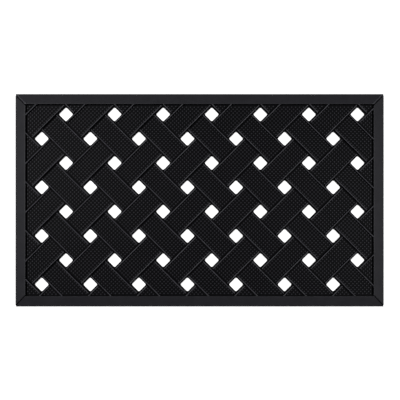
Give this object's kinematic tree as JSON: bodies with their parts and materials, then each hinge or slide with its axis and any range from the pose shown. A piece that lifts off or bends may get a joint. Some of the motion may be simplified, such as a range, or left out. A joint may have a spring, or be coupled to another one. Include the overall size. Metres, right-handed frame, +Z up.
{
  "type": "door mat",
  "caption": "Black rubber scraper door mat: a mitred border round a basket weave of pinned bands with square drain holes between them.",
  "frame": {"origin": "on the floor, at the middle of the mat's outline", "axes": "+X along the mat's length, +Y across it towards the back rail, +Z up from the floor"},
  "size_m": [0.7, 0.404, 0.0096],
  "materials": {
    "rail_rubber": "smooth matt",
    "band_rubber": "pinned matt"
  },
  "bodies": {
    "root": {"front_rail": "rail_rubber", "back_rail": "rail_rubber", "left_rail": "rail_rubber", "right_rail": "rail_rubber", "rising_band_01": "band_rubber", "rising_band_02": "band_rubber", "rising_band_03": "band_rubber", "rising_band_04": "band_rubber", "rising_band_05": "band_rubber", "rising_band_06": "band_rubber", "rising_band_07": "band_rubber", "rising_band_08": "band_rubber", "rising_band_09": "band_rubber", "rising_band_10": "band_rubber", "rising_band_11": "band_rubber", "falling_band_01": "band_rubber", "falling_band_02": "band_rubber", "falling_band_03": "band_rubber", "falling_band_04": "band_rubber", "falling_band_05": "band_rubber", "falling_band_06": "band_rubber", "falling_band_07": "band_rubber", "falling_band_08": "band_rubber", "falling_band_09": "band_rubber", "falling_band_10": "band_rubber", "falling_band_11": "band_rubber", "falling_band_12": "band_rubber"}
  },
  "joints": []
}
